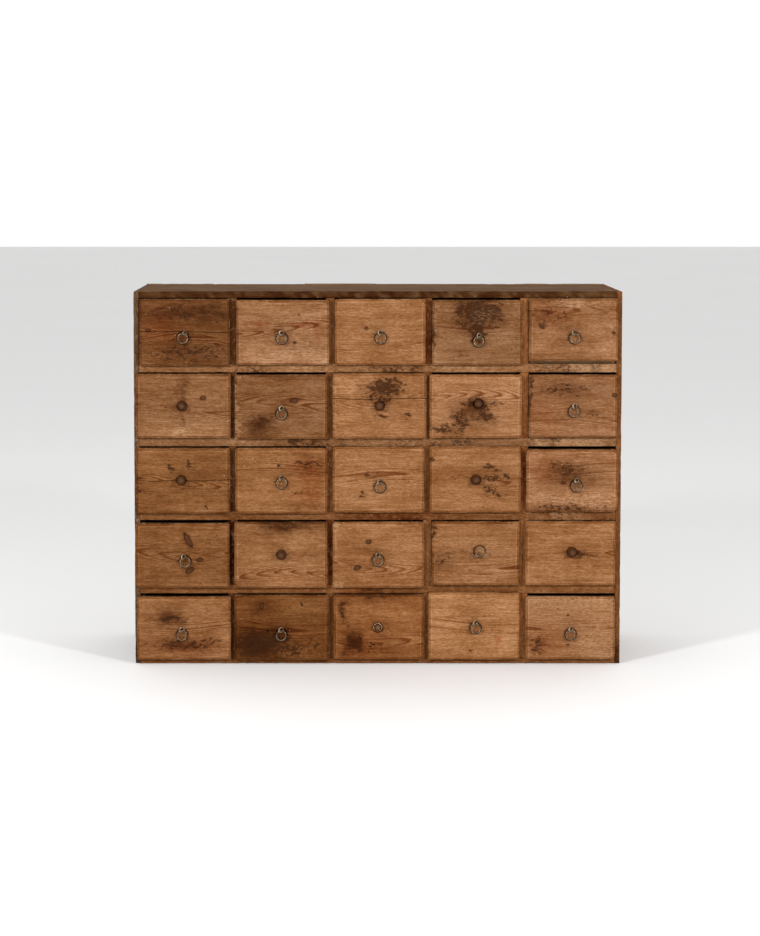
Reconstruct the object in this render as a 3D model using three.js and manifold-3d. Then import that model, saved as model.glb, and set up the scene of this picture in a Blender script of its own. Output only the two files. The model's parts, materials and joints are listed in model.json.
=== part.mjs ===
// Apothecary cabinet in old pine: a nailed case with an egg-crate of shelves and partitions,
// and twenty-five lipped drawers, each pulled by an iron ring in a wire eye or by a turned knob.
//
// Millimetres, +X to the viewer's right, +Y to the back, +Z up. The origin lies on the floor, in
// the middle of the case's width and depth, so the boards' front edges are at y = FRONT_Y.
import * as THREE from 'three';
import { mergeVertices } from 'three/addons/utils/BufferGeometryUtils.js';
import Module from 'manifold-3d';

const wasm = await Module();
wasm.setup();

// The case
const WIDTH = 1200;
const DEPTH = 340; // from the boards' front edges to the back of the back planks
const SIDE_THICK = 13;
const TOP_THICK = 16;
const BOTTOM_THICK = 13;
const CRATE_THICK = 21; // shelves and partitions are sawn from one stock
const ROWS = 5;
const CELL_HEIGHT = 162; // clear height of a drawer's opening
const PARTITION_CENTRES = [-357.5, -117, 122.5, 360];
const BACK_THICK = 12;
const BACK_PLANKS = [ // width, and how far the plank's uneven end stands above the top board
  [176, 1.5], [237, 0.5], [190, 2], [205, 1], [182, 0.8], [210, 1.6],
];
const PLANK_SEAM = 0.8;
const GAP = 0.3; // between pieces that touch or are let into each other
const MERGE_TOLERANCE = 1e-4; // vertices closer than this are one vertex

// The drawers
const LIP_THICK = 10; // part of the front that stands proud of the case
const TONGUE_THICK = 8; // part of the front that enters the opening
const BOX_LENGTH = 315; // how far the box reaches back into the case
const BOX_SIDE = 9;
const BOX_BOTTOM = 7;
const SIDE_PLAY = 1.5; // each side of the box
const TOP_PLAY = 8;
const RUN_PLAY = 0.5; // under the box, and between the lip and the case

// The pulls
const RING_RADIUS = 12.1; // to the middle of the wire
const RING_WIRE = 1.4; // radius of the wire
const EYE_HALF_WIDTH = 7.2; // the eye is a loop of wire bent a little wider than high
const EYE_HALF_HEIGHT = 5.7;
const EYE_WIRE = 1.5;
const EYE_OFF_FRONT = 0.5; // between the loop and the front
const RING_PLAY = 0.6; // above the eye's wire, where a hanging ring would rest on it
const SHANK_RADIUS = 1.4;
const SHANK_SUNK = 4;
const LOOP_SIDES = 6;
const LOOP_STEPS = 18;
const KNOB_SIDES = 14;
const KNOB_PROFILE = [[0, -3], [4.5, -3], [4.5, 3], [7, 6], [10, 10], [10, 13], [7.5, 15], [0, 15]];
const STUB_PROFILE = [[0, -3], [5, -3], [5, 2], [9, 4], [9, 8], [6, 10], [0, 10]];

// Every front was planed to its own opening. laps: how far it reaches past the opening's edge on
// the left, on the right, below and above; a negative lap leaves a gap. at: the pull, from the
// middle of the front. lean: a ring hangs this many degrees to the right of straight down. One ring
// is thrown up and leans back on its drawer by back degrees, with more play in its eye.
const DRAWERS = [
  [
    { laps: [-2, 5.5, 5.5, -1.5], pull: 'ring', at: [1, 0], lean: -25, turn: 26 },
    { laps: [0.5, 8.5, 3, -4], pull: 'ring', at: [-3, 0], lean: 4 },
    { laps: [0, 5.5, 3, -1.5], pull: 'ring', at: [0, 0], lean: 6 },
    { laps: [0.5, 5, 4, -4], pull: 'ring', at: [4, -6], lean: -4 },
    { laps: [0, 2, -7, 0], pull: 'ring', at: [1, -6], lean: 6 },
  ],
  [
    { laps: [8, 7, 0, -1.5], pull: 'knob', at: [-3, -5] },
    { laps: [4.5, 4, 2.5, -1.5], pull: 'ring', at: [1, -4], lean: 0 },
    { laps: [5, 8, 1.5, -0.5], pull: 'knob', at: [0, -4] },
    { laps: [6.5, 5, 0, -1.5], pull: 'knob', at: [6, 1] },
    { laps: [0, 2, -1, -1], pull: 'ring', at: [3, 0], lean: -5 },
  ],
  [
    { laps: [8.5, 4.5, 4.5, -1.5], pull: 'knob', at: [-4, -3] },
    { laps: [4.5, 4, 4.5, -1.5], pull: 'ring', at: [1, 8.5], lean: 0 },
    { laps: [5, 3, 2, 1], pull: 'ring', at: [3, -4], lean: 3 },
    { laps: [5.5, 3, 2, 2], pull: 'knob', at: [1.5, -5] },
    { laps: [5.5, 5, 0, -0.5], pull: 'ring', at: [10.5, -1], lean: -2 },
  ],
  [
    { laps: [10.5, 3, 6.5, -2], pull: 'ring', at: [2.5, -2.5], lean: 19, turn: 30 },
    { laps: [7, 4, 6.5, -1], pull: 'knob', at: [1, -4.5] },
    { laps: [5, 3, 6.5, -1], pull: 'ring', at: [-1, 0.5], lean: 0 },
    { laps: [0.5, 0.5, 0, 1.5], pull: 'ring', at: [2.5, -4], lean: 142, turn: 15, back: 13, play: 1.8 },
    { laps: [7, 0, 0, 1.5], pull: 'knob', at: [3.5, -2.5] },
  ],
  [
    { laps: [8, 5.5, 3, -3], pull: 'ring', at: [-4.5, -3], lean: 0 },
    { laps: [7, 7.5, 4.5, -0.5], pull: 'ring', at: [-1.5, -4], lean: 1 },
    { laps: [2.5, 2.5, 2, 0.5], pull: 'stub', at: [-2, -3.5] },
    { laps: [8, 2, 3, 4.5], pull: 'ring', at: [2.5, 10], lean: 4 },
    { laps: [5.5, 0, 2, -0.5], pull: 'ring', at: [1, -3.5], lean: 0 },
  ],
];
const EYE_TURN = 45; // degrees from edge-on to the viewer, unless a drawer says its own

// Derived sizes
const FRONT_Y = -DEPTH / 2;
const CASE_BACK_Y = DEPTH / 2 - BACK_THICK - GAP;
const CASE_DEPTH = CASE_BACK_Y - FRONT_Y;
const PITCH = CELL_HEIGHT + CRATE_THICK;
const CRATE_HEIGHT = ROWS * PITCH - CRATE_THICK;
const HEIGHT = BOTTOM_THICK + CRATE_HEIGHT + TOP_THICK;
const INNER_HALF = WIDTH / 2 - SIDE_THICK;
const LAP_DEPTH = CASE_DEPTH / 2; // shelves are whole in front of it, partitions behind it

const wood = (color) => new THREE.MeshStandardMaterial({ color, roughness: 0.75, metalness: 0 });
const PINE_CASE = '#7a4f30';
const PINE_TOP = '#4f3628';
const PINE_BACK = '#6b503a';
const PINE_DRAWER = '#9a6a42';
const iron = () => new THREE.MeshStandardMaterial({
  color: '#77705f',
  roughness: 0.5,
  metalness: 0.8,
});

const cabinet = new THREE.Group();

function addMesh(parent, name, geometry, material, x, y, z) {
  const mesh = new THREE.Mesh(geometry, material);
  mesh.name = name;
  mesh.position.set(x, y, z);
  parent.add(mesh);
  return mesh;
}

// A box from its lowest to its highest corner.
function block([x0, y0, z0], [x1, y1, z1]) {
  const box = new THREE.BoxGeometry(x1 - x0, y1 - y0, z1 - z0);
  return box.translate((x0 + x1) / 2, (y0 + y1) / 2, (z0 + z1) / 2);
}

function toSolid(geometry) {
  const bare = geometry.index ? geometry.clone() : geometry;
  bare.deleteAttribute('normal');
  bare.deleteAttribute('uv');
  const merged = mergeVertices(bare, MERGE_TOLERANCE);
  return new wasm.Manifold(new wasm.Mesh({
    numProp: 3,
    vertProperties: new Float32Array(merged.attributes.position.array),
    triVerts: new Uint32Array(merged.index.array),
  }));
}

function toGeometry(solid) {
  const mesh = solid.getMesh();
  const geometry = new THREE.BufferGeometry();
  geometry.setAttribute('position', new THREE.BufferAttribute(mesh.vertProperties, 3));
  geometry.setIndex(new THREE.BufferAttribute(mesh.triVerts, 1));
  geometry.computeVertexNormals();
  return geometry;
}

// A board with open slots let in from its edge at v = length: drawn in (u, v), given a thickness.
function slottedBoard(halfWidth, length, slotDepth, slotCentres, thickness) {
  const half = CRATE_THICK / 2 + GAP;
  const outline = new THREE.Shape();
  outline.moveTo(-halfWidth, 0);
  outline.lineTo(halfWidth, 0);
  outline.lineTo(halfWidth, length);
  for (const centre of [...slotCentres].sort((a, b) => b - a)) {
    outline.lineTo(centre + half, length);
    outline.lineTo(centre + half, length - slotDepth);
    outline.lineTo(centre - half, length - slotDepth);
    outline.lineTo(centre - half, length);
  }
  outline.lineTo(-halfWidth, length);
  outline.closePath();
  return new THREE.ExtrudeGeometry(outline, { depth: thickness, bevelEnabled: false });
}

function addCase() {
  const side = block([0, 0, 0], [SIDE_THICK, CASE_DEPTH, HEIGHT]);
  addMesh(cabinet, 'left_side', side, wood(PINE_CASE), -WIDTH / 2, FRONT_Y, 0);
  addMesh(cabinet, 'right_side', side.clone(), wood(PINE_CASE), INNER_HALF, FRONT_Y, 0);
  const half = INNER_HALF - GAP;
  const top = block([-half, 0, 0], [half, CASE_DEPTH, TOP_THICK]);
  addMesh(cabinet, 'top_board', top, wood(PINE_TOP), 0, FRONT_Y, HEIGHT - TOP_THICK);
  const bottom = block([-half, 0, 0], [half, CASE_DEPTH, BOTTOM_THICK]);
  addMesh(cabinet, 'bottom_board', bottom, wood(PINE_CASE), 0, FRONT_Y, 0);
}

// Shelves are numbered from the top, partitions from the left. A shelf is slotted from the back
// and a partition from the front, so that each fills the other's slots.
function addCrate() {
  const half = INNER_HALF - GAP;
  const slotDepth = LAP_DEPTH + GAP / 2;
  for (let n = 1; n < ROWS; n += 1) {
    const shelf = slottedBoard(half, CASE_DEPTH, slotDepth, PARTITION_CENTRES, CRATE_THICK);
    addMesh(cabinet, `shelf_${n}`, shelf, wood(PINE_CASE), 0, FRONT_Y, floorOf(n - 1) - CRATE_THICK);
  }
  const partitionHalf = CRATE_HEIGHT / 2 - GAP;
  const middle = BOTTOM_THICK + CRATE_HEIGHT / 2;
  const shelfCentres = [];
  for (let n = 1; n < ROWS; n += 1) {
    shelfCentres.push(floorOf(n) + CELL_HEIGHT + CRATE_THICK / 2 - middle);
  }
  PARTITION_CENTRES.forEach((x, index) => {
    const partition = slottedBoard(partitionHalf, CASE_DEPTH, slotDepth, shelfCentres, CRATE_THICK);
    // Drawn flat with its slots at the back, then stood on edge with its slots at the front.
    partition.rotateZ(Math.PI).rotateY(-Math.PI / 2);
    const name = `partition_${index + 1}`;
    addMesh(cabinet, name, partition, wood(PINE_CASE), x + CRATE_THICK / 2, CASE_BACK_Y, middle);
  });
}

function addBack() {
  let x = -WIDTH / 2;
  BACK_PLANKS.forEach(([width, above], index) => {
    const plank = block([0, 0, 0], [width - PLANK_SEAM, BACK_THICK, HEIGHT + above]);
    addMesh(cabinet, `back_board_${index + 1}`, plank, wood(PINE_BACK), x, CASE_BACK_Y + GAP, 0);
    x += width;
  });
}

// Height of the floor of a row of openings; row 0 is the top one.
function floorOf(row) {
  return BOTTOM_THICK + (ROWS - 1 - row) * PITCH;
}

function openingEdges(column) {
  const faces = PARTITION_CENTRES.map((x) => [x - CRATE_THICK / 2, x + CRATE_THICK / 2]);
  const left = column === 0 ? -INNER_HALF : faces[column - 1][1];
  const right = column === PARTITION_CENTRES.length ? INNER_HALF : faces[column][0];
  return [left, right];
}

// A drawer stands in its own group: x from the middle of its opening, y from the case's front,
// z from the opening's floor.
function drawerBody(half, laps) {
  const [left, right, below, above] = laps;
  const boxHalf = half - SIDE_PLAY;
  const boxTop = CELL_HEIGHT - TOP_PLAY;
  const tongueFloor = Math.max(RUN_PLAY, -below);
  const lipBack = -RUN_PLAY;
  const innerHalf = boxHalf - BOX_SIDE;
  const lip = block(
    [-half - left, lipBack - LIP_THICK, -below],
    [half + right, lipBack, CELL_HEIGHT + above],
  );
  const tongue = block([-boxHalf, lipBack - 1, tongueFloor], [boxHalf, TONGUE_THICK, boxTop]);
  const box = block([-boxHalf, TONGUE_THICK - 1, RUN_PLAY], [boxHalf, BOX_LENGTH, boxTop]);
  const hollow = block(
    [-innerHalf, TONGUE_THICK, RUN_PLAY + BOX_BOTTOM],
    [innerHalf, BOX_LENGTH - BOX_SIDE, boxTop + 1],
  );
  return toSolid(lip).add(toSolid(tongue)).add(toSolid(box)).subtract(toSolid(hollow));
}

// A ring of wire in the XZ plane whose middle line is an ellipse.
function wireLoop(halfWidth, halfHeight, wire) {
  const loop = new THREE.TorusGeometry(halfHeight, wire, LOOP_SIDES, LOOP_STEPS);
  const at = loop.attributes.position;
  for (let i = 0; i < at.count; i += 1) {
    const angle = Math.atan2(at.getY(i), at.getX(i));
    at.setX(i, at.getX(i) + (halfWidth - halfHeight) * Math.cos(angle));
  }
  return loop.rotateX(Math.PI / 2);
}

// The eye stands on edge, turned about Z, with its shank at the loop's rearmost point.
function eye(turn) {
  const reach = EYE_HALF_WIDTH * Math.cos(turn);
  const middleOff = reach + EYE_WIRE + EYE_OFF_FRONT;
  const loop = wireLoop(EYE_HALF_WIDTH, EYE_HALF_HEIGHT, EYE_WIRE);
  loop.rotateZ(Math.PI / 2 - turn).translate(0, -middleOff, 0);
  const length = EYE_WIRE + EYE_OFF_FRONT + SHANK_SUNK;
  const shank = new THREE.CylinderGeometry(SHANK_RADIUS, SHANK_RADIUS, length, LOOP_SIDES);
  shank.translate(EYE_HALF_WIDTH * Math.sin(turn), length / 2 - EYE_WIRE - EYE_OFF_FRONT, 0);
  return { solid: toSolid(loop).add(toSolid(shank)), middleOff };
}

// A knob is turned about the Y axis and stands out towards the viewer.
function turnedKnob(profile) {
  const points = profile.map(([radius, out]) => new THREE.Vector2(radius, out));
  return toSolid(new THREE.LatheGeometry(points, KNOB_SIDES).rotateX(Math.PI / 2));
}

function addRing(drawer, name, pivot, lean, back) {
  const ring = wireLoop(RING_RADIUS, RING_RADIUS, RING_WIRE).translate(0, 0, -RING_RADIUS);
  ring.rotateX(-back).rotateY(-lean);
  addMesh(drawer, name, ring, iron(), ...pivot);
}

function addDrawer(row, column, spec) {
  const { laps, pull, at, lean = 0, turn = EYE_TURN, back = 0, play = RING_PLAY } = spec;
  const [leftEdge, rightEdge] = openingEdges(column);
  const half = (rightEdge - leftEdge) / 2;
  const place = `r${row + 1}c${column + 1}`;
  const drawer = new THREE.Group();
  drawer.position.set((leftEdge + rightEdge) / 2, FRONT_Y, floorOf(row));
  cabinet.add(drawer);

  const [left, right, below, above] = laps;
  const pullX = (right - left) / 2 + at[0];
  const pullZ = (CELL_HEIGHT + above - below) / 2 + at[1];
  const face = -RUN_PLAY - LIP_THICK;
  let body = drawerBody(half, laps);
  if (pull === 'ring') {
    const { solid, middleOff } = eye(THREE.MathUtils.degToRad(turn));
    body = body.add(solid.translate([pullX, face, pullZ]));
    const drop = EYE_HALF_HEIGHT - EYE_WIRE - RING_WIRE - play;
    const pivot = [pullX, face - middleOff, pullZ - drop];
    const { degToRad } = THREE.MathUtils;
    addRing(drawer, `ring_${place}`, pivot, degToRad(lean), degToRad(back));
  } else {
    const knob = turnedKnob(pull === 'knob' ? KNOB_PROFILE : STUB_PROFILE);
    body = body.add(knob.translate([pullX, face, pullZ]));
  }
  addMesh(drawer, `drawer_${place}`, toGeometry(body), wood(PINE_DRAWER), 0, 0, 0);
}

addCase();
addCrate();
addBack();
DRAWERS.forEach((row, r) => row.forEach((drawer, c) => addDrawer(r, c, drawer)));

export default cabinet;
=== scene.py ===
import itertools
import json
import math

import bpy
import numpy as np
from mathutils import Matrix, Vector


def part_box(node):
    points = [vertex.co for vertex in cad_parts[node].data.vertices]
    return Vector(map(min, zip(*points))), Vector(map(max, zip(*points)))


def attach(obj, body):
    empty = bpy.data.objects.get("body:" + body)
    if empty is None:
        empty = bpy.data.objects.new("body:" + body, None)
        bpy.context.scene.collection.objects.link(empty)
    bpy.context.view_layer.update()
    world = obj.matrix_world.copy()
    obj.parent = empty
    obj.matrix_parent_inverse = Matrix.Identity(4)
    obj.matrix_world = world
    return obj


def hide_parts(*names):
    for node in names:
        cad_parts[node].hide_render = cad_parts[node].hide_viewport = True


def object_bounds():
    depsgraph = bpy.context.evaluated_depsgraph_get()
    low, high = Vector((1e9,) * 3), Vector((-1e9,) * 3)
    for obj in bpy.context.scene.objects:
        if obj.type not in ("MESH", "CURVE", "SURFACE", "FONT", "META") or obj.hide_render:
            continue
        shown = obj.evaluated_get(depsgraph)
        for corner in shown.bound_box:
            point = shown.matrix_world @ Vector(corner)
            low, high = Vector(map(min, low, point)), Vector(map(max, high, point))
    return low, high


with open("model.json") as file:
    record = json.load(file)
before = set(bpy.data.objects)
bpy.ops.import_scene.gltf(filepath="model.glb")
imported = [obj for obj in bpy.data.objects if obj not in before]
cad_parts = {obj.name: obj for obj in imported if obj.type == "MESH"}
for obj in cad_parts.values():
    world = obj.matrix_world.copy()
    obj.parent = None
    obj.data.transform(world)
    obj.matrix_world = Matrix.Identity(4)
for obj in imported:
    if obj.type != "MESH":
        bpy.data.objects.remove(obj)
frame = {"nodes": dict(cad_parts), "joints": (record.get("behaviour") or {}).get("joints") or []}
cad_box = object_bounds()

# An apothecary cabinet in old pine. Metres, +X to the viewer's right, +Y to the back, +Z up.
# Every board, pull and nail is its own mesh, made here in the place that its CAD node gives it.

MM = 0.001
LIP_THICK = 10 * MM  # part of a drawer's front that stands proud of the case
TONGUE_THICK = 8.5 * MM  # part of a drawer's front behind the lip
BOX_SIDE = 9 * MM
BOX_BOTTOM = 7 * MM
JOINT_GAP = 0.15 * MM  # between the boards of a drawer
FIELD_EDGE = 7.2 * MM  # from a front's outline to the line round its raised field
CRACK_DEPTH = 1.6 * MM
CASE_NAIL = 3.8 * MM  # radius of a nail's head
BOX_NAIL = 2 * MM
WIRE_LOOP = 7.2 * MM  # half width of a wire eye
LOOP_OFF_FRONT = 2 * MM  # from a drawer's front to the nearest wire's middle
LEG_GAP = 1.25 * MM  # half the distance between a wire eye's two legs
LEG_WIRE = 1.1 * MM
RING_RADIUS = 12.1 * MM
RING_WIRE = 1.45 * MM
EYE_WIRE = 1.55 * MM

ROWS = 5
COLUMNS = 5
PLACES = [f"r{row}c{column}" for row in range(1, ROWS + 1) for column in range(1, COLUMNS + 1)]
PEAR_RINGS = ("r2c2", "r2c5", "r5c4")
SHELVES = [f"shelf_{n}" for n in range(1, ROWS)]
PARTITIONS = [f"partition_{n}" for n in range(1, COLUMNS)]
BACK_BOARDS = [f"back_board_{n}" for n in range(1, 7)]


def srgb(red, green, blue):
    """A colour given as on a screen, from 0 to 255, as linear light."""
    share = np.array([red, green, blue]) / 255
    return np.where(share < 0.04045, share / 12.92, ((share + 0.055) / 1.055) ** 2.4)


# Where old pine is paler it is also less yellow, so its green and blue change more than its red
DEPTH = np.array([0.95, 1.3, 1.85])

# Colours of the wood itself, under the studio's light
PINE = srgb(130, 89, 56.5)
CASE_PINE = srgb(112, 70, 38)
TOP_PINE = srgb(94, 66, 40)
SIDE_PINE = srgb(82, 60, 42)
BOX_PINE = srgb(140, 108, 74)
BACK_PINE = srgb(110, 84, 62)

# What a mark does to the wood's colour, where its strength is 1
CASTS = {
    # This darkening is real dirt on most boards, and painted shade on the partitions' front edges.
    "dirt_and_shade": (0.42, 0.32, 0.21),
    "amber": (1.0, 0.95, 0.74),
    "ruddy": (0.8, 0.52, 0.36),
    "pale": (1.4, 1.52, 1.7),
}
MASKS = {"stain": 0, "scuff": 1, "hole": 2, "wear": 3}  # marks that the material breaks up
ALL_OVER = (0, 0, 400, 400)  # a mark's place and size, in percent of half a board

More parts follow.
